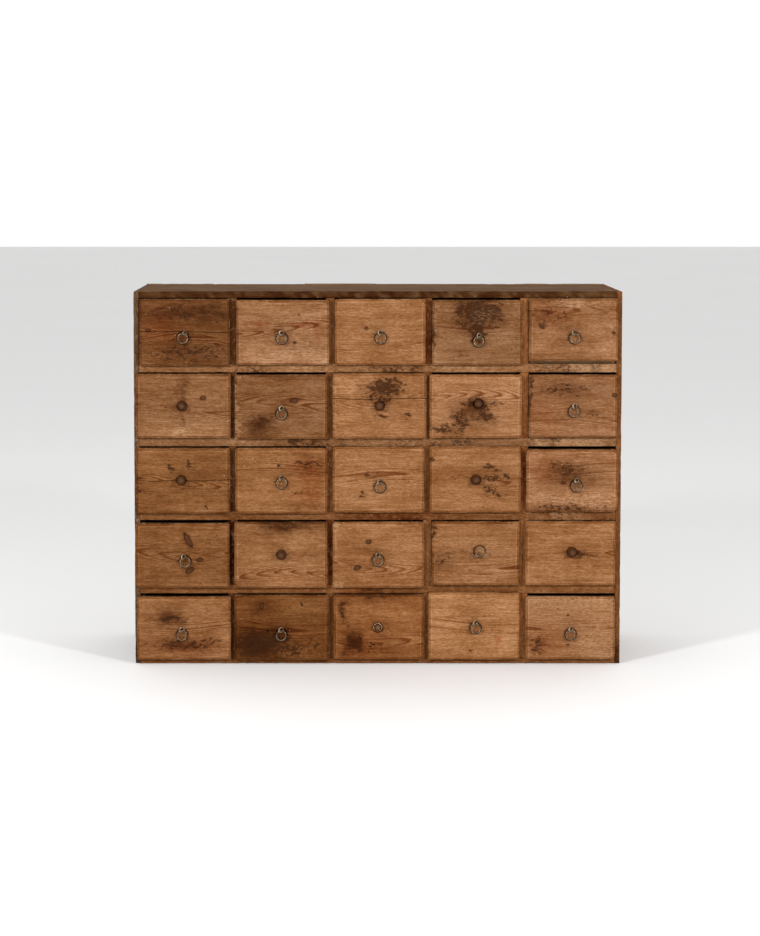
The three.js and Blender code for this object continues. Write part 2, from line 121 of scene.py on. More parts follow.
# What each front has been through, read from the top left.
# light: how pale it is. red, yellow: how red and how yellow, below 0 for less than usual.
# pith: where the wide figure of its grain lies, and crack: where a crack runs, from -1 at the
# bottom to 1 at the top. lines: how clear its growth rings are. corner: radius of its corners in
# millimetres. ragged: how chipped its edges are. sunk: how far its top is worn down, in millimetres.
# knots: across, up, radius in millimetres and, for odd ones, slant in degrees and how long it is.
# The rest are marks, by kind: across, up, half width, half height and strength. Places, sizes and
# strengths are in percent, places and sizes of half the front.
PLAIN_FRONT = dict(red=0, yellow=0, crack=None, lines=0.6, corner=4, ragged=1, sunk=0, knots=())
FRONTS = {
    "r1c1": dict(
        light=0.64, red=0.4, yellow=0.4, pith=-0.2, lines=1, crack=0.02,
        knots=[(-80, 5, 4.5), (70, -35, 3.4), (72, 30, 2.3)],
        dirt_and_shade=[(0, 60, 100, 35, 50), (55, 55, 40, 40, 50), (10, -55, 70, 30, 50)],
        ruddy=[(-50, 20, 50, 60, 80)],
        pale=[(2, 13, 12, 8, 90)],
        stain=[(5, 60, 90, 25, 55), (10, -60, 90, 22, 50)],
    ),
    "r1c2": dict(
        light=1.02, red=-0.3, yellow=-0.45, pith=0.1, lines=0.8,
        knots=[(35, 56, 2.2), (26, -30, 2.9, 0, 1.6)],
        dirt_and_shade=[(60, -45, 40, 8, 35), (-2, 24, 13, 10, 40), (0, -30, 15, 10, 30)],
        ruddy=[(35, 27, 25, 6, 100), (-50, 27, 40, 6, 80), (72, 10, 6, 50, 60)],
        pale=[(0, -80, 120, 22, 50)],
    ),
    "r1c3": dict(
        light=1.03, pith=-0.35, ragged=1.6,
        knots=[(-30, 12, 3.4)],
        pale=[(0, 93, 100, 7, 40)],
        hole=[(-50, -40, 2, 2, 70), (40, -20, 2, 2, 70)],
        wear=[(0, 100, 90, 6, 70)],
    ),
    "r1c4": dict(
        light=0.88, red=-0.2, yellow=-0.3, pith=0.3, ragged=2.2,
        dirt_and_shade=[(2, 60, 55, 45, 45), (5, 50, 50, 50, 70), (-30, -60, 25, 20, 40), (40, -70, 20, 15, 30)],
        stain=[(0, 66, 42, 38, 100), (3, 15, 17, 35, 100), (-100, 0, 5, 90, 60)],
        scuff=[(10, 50, 30, 30, 30)],
    ),
    "r1c5": dict(
        light=0.97, red=-0.1, yellow=-0.3, pith=0.5,
        knots=[(90, -10, 3.4)],
        dirt_and_shade=[(-60, 40, 25, 30, 45)],
        ruddy=[(-50, 50, 50, 45, 60)],
        pale=[(0, 0, 3.5, 120, 50), (-2, 0, 2.5, 100, 50)],
        stain=[(-68, 15, 6, 10, 80), (-55, 55, 40, 30, 35)],
        scuff=[(0, 85, 40, 12, 75), (85, 12, 5, 5, 90)],
    ),
    "r2c1": dict(
        light=0.83, pith=-0.1, sunk=1,
        knots=[(42, 25, 5.1)],
        dirt_and_shade=[(2, 50, 3.5, 60, 45), (-3, 50, 13, 50, 55), (-2, -42, 3, 36, 70)],
        pale=[(3, -65, 4, 40, 50), (0, -70, 90, 20, 35), (0, -80, 100, 25, 30), (55, -70, 40, 25, 25)],
        scuff=[(-5, -83, 14, 20, 70)],
    ),
    "r2c2": dict(
        light=0.8, pith=0.05, lines=1, sunk=3,
        knots=[(28, 20, 5.6, 0, 1.8)],
        dirt_and_shade=[(-45, -45, 30, 30, 70), (-62, 40, 22, 17, 55), (-45, -60, 30, 25, 55),
            (40, -50, 40, 20, 25), (-50, -65, 45, 25, 50), (0, 95, 100, 15, 35)],
        stain=[(-45, -45, 25, 20, 50)],
        scuff=[(-100, 0, 6, 100, 70), (-90, 93, 20, 8, 50)],
    ),
    "r2c3": dict(
        light=1.08, pith=0.2, corner=9, crack=0.22, sunk=0.5,
        dirt_and_shade=[(10, 50, 40, 35, 35), (5, 35, 35, 40, 40)],
        pale=[(-75, 10, 22, 90, 50)],
        stain=[(10, 56, 36, 22, 95), (2, 18, 14, 22, 70), (10, -28, 12, 6, 65), (58, -26, 10, 8, 65)],
        scuff=[(-98, 0, 5, 100, 60), (-60, 50, 12, 40, 30)],
    ),
    "r2c4": dict(
        light=1.272, red=-0.3, yellow=-0.5, pith=0.25, corner=7, sunk=2.5,
        dirt_and_shade=[(-25, -30, 40, 35, 60), (0, 0, 15, 20, 80), (-10, -10, 60, 40, 60),
            (15, -42, 40, 25, 45)],
        stain=[(2, 5, 28, 17, 80), (-35, -40, 20, 33, 70), (-65, -75, 32, 16, 65), (37, 13, 16, 8, 75),
            (12, -30, 18, 13, 70)],
    ),
    "r2c5": dict(
        light=1, yellow=-0.5, pith=-0.4, sunk=3.5,
        knots=[(93, 35, 4.5)],
        dirt_and_shade=[(-10, 60, 90, 30, 30), (-20, 50, 70, 30, 50)],
        ruddy=[(-60, -30, 30, 50, 50)],
        stain=[(-98, 40, 5, 70, 80), (-10, 55, 60, 16, 45), (45, -30, 20, 12, 40)],
    ),
    "r3c1": dict(
        light=0.77, red=0.25, yellow=0.6, pith=-0.05, crack=0.02, sunk=1.5,
        knots=[(-92, -30, 3.4)],
        dirt_and_shade=[(2, 50, 3.5, 60, 35)],
        pale=[(3, -50, 4, 60, 35), (2, 50, 3, 40, 60), (-10, -70, 20, 15, 25)],
        stain=[(-22, 42, 5, 11, 80), (17, 48, 6, 10, 60), (50, -72, 3, 16, 65)],
    ),
    "r3c2": dict(
        light=0.96, red=0.1, yellow=0.35, pith=0.35, corner=11, sunk=1,
        dirt_and_shade=[(65, 20, 40, 5, 60), (60, 75, 35, 8, 60), (50, -75, 40, 12, 50)],
        ruddy=[(65, 30, 30, 50, 80), (60, -50, 35, 30, 60)],
        stain=[(65, 50, 30, 14, 40), (40, -35, 50, 5, 40)],
        hole=[(-3, 42, 5, 3.5, 90), (0, -50, 5, 3.5, 80)],
    ),
    "r3c3": dict(
        light=1.12, red=-0.1, pith=0.05, corner=8,
        knots=[(-25, 15, 4)],
        pale=[(-75, 0, 15, 80, 25)],
        stain=[(-33, -42, 7, 12, 70)],
    ),
    "r3c4": dict(
        light=1.07, pith=0,
        dirt_and_shade=[(45, 0, 45, 55, 30)],
        stain=[(36, 38, 13, 7, 80), (56, 22, 12, 10, 70), (40, 5, 17, 8, 80), (75, 10, 10, 12, 65),
            (30, -25, 12, 10, 65), (50, -45, 20, 10, 65), (-95, 55, 4, 7, 90)],
    ),
    "r3c5": dict(
        light=1.13, red=-0.1, yellow=-0.6, pith=0.3, corner=12, ragged=1.6, sunk=5.5,
        dirt_and_shade=[(5, 35, 40, 25, 60), (-10, 42, 20, 14, 75), (0, 2, 45, 25, 50), (0, 10, 90, 25, 35),
            (0, -100, 100, 20, 50)],
        ruddy=[(-60, 30, 30, 40, 50)],
        pale=[(0, -55, 100, 13, 50)],
        stain=[(-10, 40, 35, 20, 50), (-18, -3, 7, 5, 85), (0, -86, 90, 12, 50), (-10, 42, 12, 8, 70)],
        scuff=[(0, -60, 100, 17, 55)],
    ),
    "r4c1": dict(
        light=0.79, red=0.25, yellow=0.5, pith=0.1, corner=7, sunk=4.5,
        knots=[(12, 48, 6.2, -62, 3.1), (37, -12, 5.1, 0, 1.4), (15, -45, 6.2, 35, 1.8)],
        dirt_and_shade=[(12, -40, 14, 12, 40), (14, 42, 6, 22, 50), (-5, -10, 25, 20, 30)],
    ),
    "r4c2": dict(
        light=1.05, pith=-0.6, sunk=2,
        dirt_and_shade=[(10, 92, 70, 25, 80), (55, 0, 40, 9, 55), (-20, 60, 15, 12, 35), (0, 100, 120, 35, 50),
            (-100, -100, 50, 50, 50)],
        pale=[(10, -35, 60, 30, 25)],
        stain=[(15, 86, 50, 9, 55), (0, 97, 100, 6, 70)],
        hole=[(0, -62, 4, 4, 70)],
    ),
    "r4c3": dict(
        light=1.09, red=0.02, pith=-0.3, corner=7, sunk=2,
        knots=[(-22, 40, 5.1), (-46, -38, 5.6, 20, 1.6)],
        dirt_and_shade=[(0, 18, 90, 4, 25)],
        pale=[(-96, 0, 5, 100, 50)],
        scuff=[(-90, 90, 8, 10, 80), (-90, -90, 10, 10, 70)],
    ),
    "r4c4": dict(
        light=1.04, pith=-0.4, sunk=3.5,
        dirt_and_shade=[(-60, 0, 42, 7, 75), (-70, -35, 25, 20, 45), (60, -3, 40, 6, 45), (40, -35, 70, 5, 30)],
        stain=[(-72, -15, 20, 16, 45), (-97, 50, 5, 50, 75)],
    ),
    "r4c5": dict(
        light=1.11, pith=-0.1, sunk=2.5,
        dirt_and_shade=[(10, 0, 30, 15, 40)],
        stain=[(27, -3, 20, 6, 85)],
    ),
    "r5c1": dict(
        light=1.06, red=0.02, pith=0.15, sunk=3,
        dirt_and_shade=[(-35, 35, 30, 30, 60), (0, -55, 50, 25, 50), (-40, 35, 35, 25, 50),
            (-10, -55, 60, 25, 40), (-45, 30, 20, 30, 40)],
        ruddy=[(-10, -60, 80, 30, 60)],
        stain=[(-25, 28, 26, 10, 80), (0, -50, 65, 17, 55)],
    ),
    "r5c2": dict(
        light=0.65, red=0.7, yellow=1, pith=0.05, lines=0.9, sunk=2,
        knots=[(-42, 66, 4.5, 70, 2)],
        dirt_and_shade=[(-50, -50, 40, 35, 90), (-45, 60, 20, 25, 70), (-25, -10, 30, 25, 50),
            (-65, -40, 45, 35, 75), (-60, -80, 60, 40, 35)],
        stain=[(-15, -60, 90, 30, 50), (-55, -50, 30, 25, 100), (-42, -45, 50, 28, 85),
            (25, -65, 35, 15, 60)],
        hole=[(45, 70, 3.5, 4.5, 100), (-25, -8, 6, 7, 100)],
    ),
    "r5c3": dict(
        light=0.95, red=0.6, yellow=0.5, pith=-0.5, corner=9, sunk=1,
        dirt_and_shade=[(-75, 60, 12, 30, 70), (-60, -45, 25, 40, 100), (-65, -40, 15, 20, 70),
            (-10, 100, 80, 25, 60), (20, -50, 25, 25, 35)],
        ruddy=[(-40, -60, 40, 40, 70)],
        pale=[(30, 40, 50, 40, 20)],
        stain=[(-60, -50, 17, 30, 50), (-75, 40, 5, 35, 75), (0, 97, 70, 6, 70)],
        hole=[(-17, -46, 3, 4, 100), (-7, -48, 3, 4, 100), (-14, -58, 3, 4, 100),
            (-20, -76, 3.5, 4.5, 100)],
    ),
    "r5c4": dict(
        light=1.33, red=-0.25, pith=0.05,
        knots=[(-5, 26, 1.8), (-8, -72, 2.7)],
        ruddy=[(52, -42, 3, 20, 90)],
        stain=[(52, -30, 5, 4, 60)],
    ),
    "r5c5": dict(
        light=1.22, red=-0.3, yellow=-0.45, pith=0.1, corner=9, sunk=5,
        knots=[(-5, 40, 2.5), (-5, -52, 2.5)],
        ruddy=[(-60, -50, 40, 50, 60)],
        pale=[(50, 30, 50, 70, 25)],
        stain=[(-70, -55, 18, 25, 60)],
        scuff=[(0, 80, 100, 20, 60), (60, -50, 40, 50, 50)],
    ),
}

EDGE = -100  # where a board's front edge lies across it

# Marks on the front edges of the shelves, from the top. Those of the partitions, from the left, are
# painted shade: how pale each one is painted, how high its painted dark place lies and how strong that
# is.
SHELF_MARKS = [
    dict(
        scuff=[(86, EDGE, 15, 10, 90), (-30, EDGE, 30, 10, 50), (30, EDGE, 20, 10, 50)],
        stain=[(6, EDGE, 12, 10, 70), (80, EDGE, 10, 20, 70), (-55, EDGE, 5, 10, 70)],
        pale=[(88, EDGE, 12, 30, 70), (50, EDGE, 30, 20, 30)],
    ),
    dict(
        stain=[(-30, EDGE, 12, 10, 65), (35, EDGE, 8, 10, 60), (68, EDGE, 5, 20, 60)],
        pale=[(82, EDGE, 15, 30, 90)],
        scuff=[(80, EDGE, 15, 10, 80), (10, EDGE, 30, 10, 45)],
    ),
    dict(
        ruddy=[(5, EDGE, 16, 20, 100)],
        dirt_and_shade=[(5, EDGE, 14, 20, 60)],
        scuff=[(80, EDGE, 12, 10, 60)],
    ),
    dict(ruddy=[(-10, EDGE, 10, 20, 80)], stain=[(0, EDGE, 12, 10, 60)]),
]
SHELF_TONES = (PINE * 0.92, PINE * 0.77, CASE_PINE * 0.9, CASE_PINE)
PARTITION_SHADE = ((0.46, -40, 100), (0.8, -40, 80), (0.92, 80, 70), (1.28, 5, 60))


# Noise ------------------------------------------------------------------------------------------


def hashed(cells, seed):
    """A number from 0 to 1 that looks random but is always the same for a cell of whole numbers."""
    parts = cells.astype(np.int64).astype(np.uint64)
    mixed = parts[:, 0] * np.uint64(73856093)
    mixed ^= parts[:, 1] * np.uint64(19349663)
    mixed ^= parts[:, 2] * np.uint64(83492791)
    mixed ^= np.uint64(seed * 2654435761 % 2**32)
    mixed = (mixed ^ (mixed >> np.uint64(15))) * np.uint64(2246822519)
    mixed = (mixed ^ (mixed >> np.uint64(13))) * np.uint64(3266489917)
    return ((mixed >> np.uint64(16)) & np.uint64(0xFFFF)) / 0xFFFF


def noise(points, size, seed):
    """Smooth noise from -1 to 1 whose lumps are about size long, one size or one for each axis."""
    scaled = points / np.array(size)
    cells = np.floor(scaled)
    share = scaled - cells
    share = share * share * (3 - 2 * share)
    total = np.zeros(len(points))
    for corner in itertools.product((0, 1), repeat=3):
        weight = np.prod(np.where(corner, share, 1 - share), axis=1)
        total += weight * hashed(cells + corner, seed)
    return total * 2 - 1


# Shapes -----------------------------------------------------------------------------------------


def grid_lines(stops, rims, step):
    """Places from the first stop to the last, through all of them, at most step apart, with extra
    ones just inside both ends."""
    first, last = min(stops), max(stops)
    extra = [first + rim for rim in rims] + [last - rim for rim in rims]
    inside = [place for place in extra if first < place < last]
    stops = sorted({round(place, 6) for place in [*stops, *inside]})
    lines = [stops[0]]
    for start, end in zip(stops, stops[1:]):
        count = max(1, math.ceil((end - start) / step - 0.01))
        lines += [start + (end - start) * k / count for k in range(1, count + 1)]
    return np.array(lines)


def within(centres, box):
    """Which of the cells' centres lie in a box, as a grid of yes and no."""
    low, high = box
    flags = [(c > low[axis]) & (c < high[axis]) for axis, c in enumerate(centres)]
    return flags[0][:, None, None] & flags[1][None, :, None] & flags[2][None, None, :]


def block_mesh(boxes, cuts=(), step=(0.02,) * 3, rims=((),) * 3, extra=((),) * 3):
    """Vertices and outward quads of some boxes joined, less the cuts, on a grid."""
    lines = []
    for axis in range(3):
        low = min(box[0][axis] for box in boxes)
        high = max(box[1][axis] for box in boxes)
        ends = [corner[axis] for box in [*boxes, *cuts] for corner in box] + list(extra[axis])
        stops = [place for place in ends if low <= place <= high]
        lines.append(grid_lines(stops, rims[axis], step[axis]))
    centres = [(line[1:] + line[:-1]) / 2 for line in lines]
    filled = np.any([within(centres, box) for box in boxes], axis=0)
    for cut in cuts:
        filled &= ~within(centres, cut)
    padded = np.pad(filled, 1)
    grid = tuple(len(line) for line in lines)
    quads = []
    for axis, side in itertools.product(range(3), (0, 1)):
        beyond = np.roll(padded, 1 - 2 * side, axis)[1:-1, 1:-1, 1:-1]
        cells = np.argwhere(filled & ~beyond)
        second, third = (axis + 1) % 3, (axis + 2) % 3
        turn = ((0, 0), (1, 0), (1, 1), (0, 1))
        corners = []
        for across, up in turn if side else turn[::-1]:
            corner = cells.copy()
            corner[:, axis] += side
            corner[:, second] += across
            corner[:, third] += up
            corners.append(np.ravel_multi_index(corner.T, grid))
        quads.append(np.stack(corners, axis=1))
    used, quads = np.unique(np.concatenate(quads), return_inverse=True)
    places = np.unravel_index(used, grid)
    verts = np.stack([lines[axis][places[axis]] for axis in range(3)], axis=1)
    return verts, quads.reshape(-1, 4)


def eased(points, low, high, radius):
    """Points of a box moved so that its edges and corners are round. Works in 2D as in 3D."""
    radius = np.minimum(radius, (high - low) * 0.499)
    core = np.clip(points, low + radius, high - radius)
    offset = (points - core) / radius
    reach = np.abs(offset).max(axis=1, keepdims=True)
    length = np.maximum(np.linalg.norm(offset, axis=1, keepdims=True), 1e-9)
    return core + offset * reach / length * radius


def tube(rings, closed=False):
    """Vertices and faces of a skin over equal rings of points, capped at both ends or closed."""
    count, sides = rings.shape[:2]
    faces = []
    for ring in range(count if closed else count - 1):
        here, there = ring * sides, (ring + 1) % count * sides
        for side in range(sides):
            after = (side + 1) % sides
            faces.append((here + side, here + after, there + after, there + side))
    if not closed:
        faces.append(tuple(range(sides))[::-1])
        faces.append(tuple(range((count - 1) * sides, count * sides)))
    return rings.reshape(-1, 3), faces


def swept(path, radius, sides=10, closed=False):
    """Vertices and faces of a round wire along a path, with a radius for each of its points."""
    path = np.array(path)
    if closed:
        ways = np.roll(path, -1, axis=0) - np.roll(path, 1, axis=0)
    else:
        ways = np.gradient(path, axis=0)
    ways /= np.linalg.norm(ways, axis=1, keepdims=True)
    normal = np.cross(ways[0], (0.31, 0.17, 0.93))
    angles = np.arange(sides) * 2 * math.pi / sides
    rings = []
    for point, way, size in zip(path, ways, radius):
        normal = normal - way * normal.dot(way)
        normal /= np.linalg.norm(normal)
        other = np.cross(way, normal)
        rings.append([point + size * (normal * math.cos(a) + other * math.sin(a)) for a in angles])
    return tube(np.array(rings), closed)


def turned(profile, centre, sides=40):
    """Vertices and faces of a shape turned about the Y axis through centre. The profile is radius
    and distance out of the front, from one end on the axis to the other."""
    verts = [(centre[0], centre[1] - profile[0][1], centre[2])]
    for radius, out in profile[1:-1]:
        for side in range(sides):
            angle = side * 2 * math.pi / sides
            verts.append((centre[0] + radius * math.cos(angle), centre[1] - out,
                          centre[2] + radius * math.sin(angle)))
    verts.append((centre[0], centre[1] - profile[-1][1], centre[2]))
    rings = len(profile) - 2
    faces = []
    for side in range(sides):
        after = (side + 1) % sides
        faces.append((0, 1 + side, 1 + after))
        last = 1 + (rings - 1) * sides
        faces.append((last + after, last + side, len(verts) - 1))
        for ring in range(rings - 1):
            here = 1 + ring * sides
            faces.append((here + side, here + sides + side, here + sides + after, here + after))
    return np.array(verts), faces


def softened(profile, rounds=2):
    """An open outline with its corners cut again and again, so that they turn round."""
    points = np.array(profile, float)
    for _ in range(rounds):
        starts, ends = points[:-1], points[1:]
        cut = np.stack([starts * 0.75 + ends * 0.25, starts * 0.25 + ends * 0.75], axis=1)
        points = np.concatenate([points[:1], cut.reshape(-1, 2)[1:-1], points[-1:]])
    return points


def joined(parts):
    """One set of vertices and faces from several."""
    verts, faces = [], []
    count = 0
    for part_verts, part_faces in parts:
        verts.append(part_verts)
        faces += [tuple(index + count for index in face) for face in part_faces]
        count += len(part_verts)
    return np.concatenate(verts), faces


def add_piece(name, shape, material, body, layers=None, sharp=40):
    """A mesh object that rides on a body. layers holds the numbers that its material reads."""
    verts, faces = shape
    mesh = bpy.data.meshes.new(name)
    mesh.from_pydata(verts.tolist(), [], [tuple(map(int, face)) for face in faces])
    for key, values in (layers or {}).items():
        kind, field = ("FLOAT_COLOR", "color") if values.shape[1] == 4 else ("FLOAT_VECTOR", "vector")
        layer = mesh.attributes.new(key, kind, "POINT")
        layer.data.foreach_set(field, values.astype(np.float32).ravel())
    mesh.materials.append(material)
    mesh.shade_smooth()
    mesh.set_sharp_from_angle(angle=math.radians(sharp))
    piece = bpy.data.objects.new(name, mesh)
    bpy.context.scene.collection.objects.link(piece)
    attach(piece, body)
    return piece


# Materials --------------------------------------------------------------------------------------


class Paint:
    """A material's nodes, made by short calls that give back their output."""

    def __init__(self, name):
        self.material = bpy.data.materials.new(name)
        self.material.use_nodes = True
        self.tree = self.material.node_tree
        self.shader = self.tree.nodes["Principled BSDF"]

    def put(self, kind, inputs, **settings):
        node = self.tree.nodes.new("ShaderNode" + kind)
        for key, value in settings.items():
            setattr(node, key, value)
        self.feed(node, inputs)
        return node

    def feed(self, node, inputs):
        for key, value in inputs.items():
            if isinstance(value, bpy.types.NodeSocket):
                self.tree.links.new(value, node.inputs[key])
            else:
                node.inputs[key].default_value = value

    def place(self):
        return self.put("TexCoord", {}).outputs["Object"]

    def layer(self, name):
        return self.put("Attribute", {}, attribute_type="GEOMETRY", attribute_name=name).outputs

    def split(self, vector):
        return self.put("SeparateXYZ", {0: vector}).outputs

    def math(self, operation, *values):
        return self.put("Math", dict(enumerate(values)), operation=operation).outputs[0]

    def times(self, product, *factors):
        for factor in factors:
            product = self.math("MULTIPLY", product, factor)
        return product

    def off_middle(self, value, amount):
        """How far a value from 0 to 1 is from the middle, by an amount."""
        return self.times(self.math("SUBTRACT", value, 0.5), amount)

    def stretch(self, vector, scales):
        return self.put("VectorMath", {0: vector, 1: scales}, operation="MULTIPLY").outputs[0]

    def noise(self, vector, scales, detail=3.0, roughness=0.6):
        inputs = {"Vector": self.stretch(vector, scales), "Scale": 1.0, "Detail": detail}
        inputs["Roughness"] = roughness
        return self.put("TexNoise", inputs).outputs[0]

    def smooth(self, value, low, high, start=0.0, end=1.0):
        inputs = {0: value, 1: low, 2: high, 3: start, 4: end}
        return self.put("MapRange", inputs, interpolation_type="SMOOTHSTEP").outputs[0]

    def ragged(self, mask, speckle, amount, soft):
        """1 where a mask and some noise pass the middle together, so that its edge breaks up, and
        0 well outside the mask."""
        lifted = self.math("ADD", mask, self.off_middle(speckle, amount))
        return self.times(self.smooth(lifted, 0.5 - soft, 0.5 + soft), self.smooth(mask, 0.04, 0.3))

    def ramp(self, value, stops):
        node = self.put("ValToRGB", {0: value})
        elements = node.color_ramp.elements
        while len(elements) < len(stops):
            elements.new(0.5)
        for element, (place, level) in zip(elements, stops):
            element.position = place
            element.color = (level, level, level, 1)
        return node.outputs[0]

    def mix(self, share, first, second, blend="MIX"):
        inputs = {0: share}
        for socket, side in ((6, first), (7, second)):
            inputs[socket] = (*side, 1) if isinstance(side, (tuple, np.ndarray)) else side
        return self.put("Mix", inputs, data_type="RGBA", blend_type=blend).outputs[2]

    def cover(self, under, over, mask, amount, blend="MIX"):
        """A colour with another over it, by a mask and an amount."""
        return self.mix(self.times(mask, amount), under, over, blend)

    def surface(self, colour, rough, height, distance, strength, constants):
        """The material, with its colour, roughness and relief, and what is the same all over it."""
        relief = {"Height": height, "Distance": distance, "Strength": strength}
        normal = self.put("Bump", relief).outputs[0]
        inputs = {"Base Color": colour, "Roughness": rough, "Normal": normal, **constants}
        self.feed(self.shader, inputs)
        return self.material


def grown_wood(paint, tone, fibre, grain):
    """The colour of clean pine: its growth rings, fibres and clouds. Also its late wood."""
    phase, _, clear = paint.split(paint.layer("figure")["Vector"])
    streak = paint.noise(grain, (5, 34, 34), 4.0)
    waver = paint.noise(grain, (9, 60, 60), 2.0)
    cloud = paint.noise(grain, (16, 52, 52), 7.0, 0.76)
    dots = paint.noise(grain, (110, 420, 420), 3.0, 0.7)
    hairs = paint.noise(grain, (16, 380, 380), 3.0, 0.55)

    # Late wood is a narrow dark line on each growth ring, clearer in some stretches than others
    turn = paint.math("FRACT", paint.math("ADD", phase, paint.times(waver, 0.6)))
    late = paint.ramp(turn, [(0, 0), (0.5, 0.05), (0.82, 1), (0.94, 1), (1, 0)])
    late = paint.times(late, paint.smooth(streak, 0.38, 0.56, 0.25, 1.0), clear)
    colour = paint.mix(late, tone, (0.52, 0.36, 0.24), "MULTIPLY")
    shade = paint.times(
        paint.smooth(fibre, 0.32, 0.68, 0.84, 1.15),
        paint.smooth(streak, 0.36, 0.64, 0.92, 1.07),
        paint.smooth(cloud, 0.32, 0.68, 0.82, 1.15),
        paint.smooth(dots, 0.34, 0.66, 0.76, 1.2),
        paint.smooth(hairs, 0.64, 0.74, 1.0, 0.6),
    )
    powers = [paint.math("POWER", shade, float(power)) for power in DEPTH]
    return paint.stretch(colour, paint.put("CombineXYZ", dict(enumerate(powers))).outputs[0]), late


def knotty(paint, colour, speckle):
    """Knots, dark and red inside a darker rim, with a halo round each."""
    knot = paint.split(paint.layer("figure")["Vector"])[1]
    around = paint.math("ADD", knot, paint.off_middle(speckle, 1.2))
    halo = paint.smooth(around, 2.4, 1.0)
    core = paint.smooth(around, 1.15, 0.85)
    rim = paint.times(paint.smooth(around, 0.7, 1.0), paint.smooth(around, 1.3, 1.0))
    colour = paint.cover(colour, (0.6, 0.42, 0.28), halo, 0.35, "MULTIPLY")
    colour = paint.cover(colour, srgb(70, 42, 24), core, 0.8)
    return paint.cover(colour, srgb(34, 19, 11), rim, 0.9)


def pitted(paint, colour, hole, grain, speckle):
    """Pale flecks, then worm holes and dents. Also where these are."""
    pits = paint.put("TexVoronoi", {"Vector": grain, "Scale": 75.0}, feature="F1").outputs
    chance = paint.split(pits["Color"])[0]
    fleck = paint.times(paint.smooth(pits["Distance"], 0.1, 0.05), paint.smooth(chance, 0.12, 0.06))
    colour = paint.cover(colour, srgb(200, 176, 146), fleck, 0.6)
    pit = paint.times(paint.smooth(pits["Distance"], 0.13, 0.06), paint.smooth(chance, 0.72, 0.82))
    black = paint.math("MAXIMUM", paint.ragged(hole, speckle, 1.0, 0.12), pit)
    return paint.cover(colour, srgb(22, 14, 10), black, 0.85), black


def dirt_and_shadow_round_pull(paint, colour, speckle):
    """A dark line round each pull: partly the line that a swinging ring rubs and the dirt round a knob,
    partly the painted shadow of the ring and of the knob.
    """
    pull = paint.layer("pull")["Vector"]
    flat = paint.stretch(pull, (1, 1, 0))
    reach = paint.put("VectorMath", {0: flat}, operation="LENGTH").outputs["Value"]
    beside = paint.math("ABSOLUTE", paint.math("SUBTRACT", reach, 1.17))
    # Painted shadow, with rubbed dirt: a dark line just outside the ring's wire, and round the knob.
    dark = paint.times(paint.smooth(beside, 0.3, 0.08), paint.split(pull)[2])
    dirt = paint.times(dark, paint.smooth(speckle, 0.3, 0.5, 0.6, 1.0))
    return paint.mix(dirt, colour, (0.32, 0.21, 0.12), "MULTIPLY")


def old_wood(name, gloss, dust):
    """Pine and what the marks leave on it: bare wood where edges are rubbed, the flaked rest of a
    dark finish, pale scuffs, holes, dirt and dust, and a painted shadow round each pull."""
    paint = Paint(name)
    marks = paint.layer("marks")
    stain, scuff, hole = paint.split(marks["Color"])
    grain = paint.layer("grain")["Vector"]
    fibre = paint.noise(grain, (11, 190, 190), 5.0, 0.7)
    speckle = paint.noise(grain, (85, 130, 130), 6.0, 0.76)
    scratch = paint.noise(grain, (110, 420, 420), 6.0, 0.8)
    drift = paint.noise(grain, (4, 11, 11), 5.0)

    colour, late = grown_wood(paint, paint.layer("tone")["Color"], fibre, grain)
    colour = knotty(paint, colour, speckle)
    bare = paint.ragged(marks["Alpha"], speckle, 2.0, 0.2)
    colour = paint.cover(colour, srgb(168, 128, 90), bare, 0.4)
    flake = paint.ragged(stain, speckle, 4.8, 0.16)
    colour = paint.cover(colour, (0.5, 0.37, 0.22), stain, 0.5, "MULTIPLY")
    colour = paint.cover(colour, srgb(52, 29, 14), flake, 0.88)
    rubbed = paint.ragged(scuff, scratch, 4.4, 0.3)
    colour = paint.cover(colour, srgb(176, 140, 106), rubbed, 0.34)
    colour, black = pitted(paint, colour, hole, grain, speckle)
    # Dirt and painted shadow round the pull.
    colour = dirt_and_shadow_round_pull(paint, colour, speckle)
    colour = paint.cover(colour, srgb(150, 134, 112), paint.smooth(drift, 0.35, 0.7), dust)

    height = paint.math("ADD", paint.times(fibre, 0.5), paint.times(late, 0.35))
    height = paint.math("ADD", height, paint.times(flake, 0.6))
    height = paint.math("SUBTRACT", height, paint.times(black, 1.2))
    rough = paint.smooth(fibre, 0.2, 0.8, gloss + 0.1, gloss - 0.06)
    rough = paint.math("ADD", rough, paint.times(paint.math("SUBTRACT", bare, flake), 0.12))
    return paint.surface(colour, rough, height, 0.5 * MM, 0.6, {"Specular IOR Level": 0.02})


def iron(name, light):
    """Old wire: grey-brown, rubbed bright in places, with rust and a little green. light scales all
    its colours: a painted brightness that stands partly for how the light falls on each part.
    """
    paint = Paint(name)
    place = paint.place()
    fine = paint.noise(place, (700,) * 3, 4.0)
    broad = paint.noise(place, (160,) * 3, 3.0)
    dull, bright = light * srgb(112, 94, 72), light * srgb(204, 182, 150)
    colour = paint.mix(paint.smooth(broad, 0.34, 0.68), dull, bright)
    colour = paint.mix(paint.smooth(fine, 0.52, 0.74, 0.0, 0.6), colour, light * srgb(60, 44, 32))
    green = paint.times(paint.smooth(broad, 0.6, 0.75), paint.smooth(fine, 0.45, 0.3))
    colour = paint.cover(colour, light * srgb(120, 134, 112), green, 0.3)
    rough = paint.smooth(fine, 0.3, 0.7, 0.3, 0.6)
    return paint.surface(colour, rough, fine, 0.15 * MM, 0.6, {"Metallic": 0.85})


def nail_iron():
    """Rusty nail heads."""
    paint = Paint("nail_iron")
    fine = paint.noise(paint.place(), (900,) * 3, 4.0)
    colour = paint.mix(paint.smooth(fine, 0.35, 0.65), srgb(44, 36, 32), srgb(92, 64, 46))
    rough = paint.smooth(fine, 0.3, 0.7, 0.5, 0.8)
    return paint.surface(colour, rough, fine, 0.1 * MM, 0.5, {"Metallic": 0.6})


